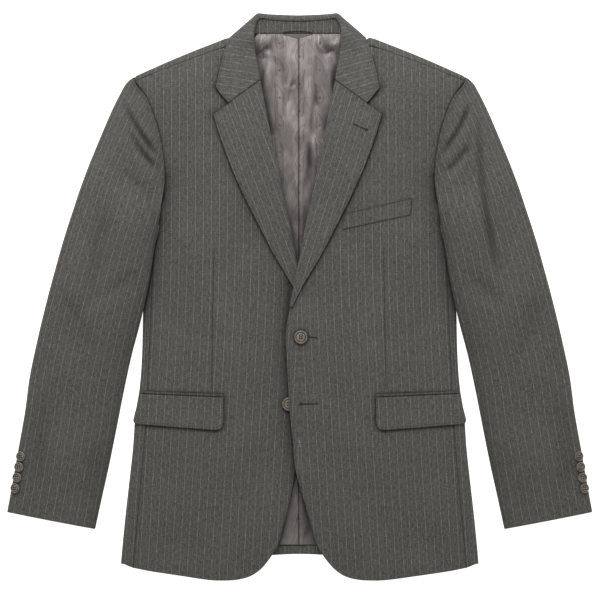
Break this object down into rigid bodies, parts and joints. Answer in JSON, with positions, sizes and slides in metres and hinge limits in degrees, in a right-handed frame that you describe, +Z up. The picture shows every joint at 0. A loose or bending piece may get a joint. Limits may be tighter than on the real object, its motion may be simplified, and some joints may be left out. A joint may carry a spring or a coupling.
{
  "type": "single breasted blazer, laid flat",
  "caption": "Single breasted notch lapel blazer in dark grey pinstriped wool, laid flat on its back with the upper button fastened.",
  "frame": {"origin": "middle of the laid garment's footprint, on the surface that it lies on", "axes": "+X towards the wearer's left sleeve, +Y from the hem to the collar, +Z up from the surface, out of the fronts"},
  "size_m": [0.8436, 0.8173, 0.0332],
  "materials": {
    "cloth": "matte",
    "lining": "satin",
    "horn": "satin"
  },
  "bodies": {
    "root": {"back_hem_facing": "cloth", "back_left": "cloth", "back_lining_left": "lining", "back_lining_right": "lining", "back_right": "cloth", "breast_welt": "cloth", "collar_fall": "cloth", "collar_stand": "cloth", "front_button_1": "horn", "front_button_2": "horn", "front_left": "cloth", "front_right": "cloth", "hanger_loop": "lining", "lapel_left": "cloth", "lapel_right": "cloth", "pocket_flap_left": "cloth", "pocket_flap_right": "cloth", "pocket_jet_left": "cloth", "pocket_jet_right": "cloth", "side_body_left": "cloth", "side_body_right": "cloth", "sleeve_button_left_1": "horn", "sleeve_button_left_2": "horn", "sleeve_button_left_3": "horn", "sleeve_button_left_4": "horn", "sleeve_button_right_1": "horn", "sleeve_button_right_2": "horn", "sleeve_button_right_3": "horn", "sleeve_button_right_4": "horn", "sleeve_top_left": "cloth", "sleeve_top_right": "cloth", "sleeve_under_left": "cloth", "sleeve_under_right": "cloth"}
  },
  "joints": []
}
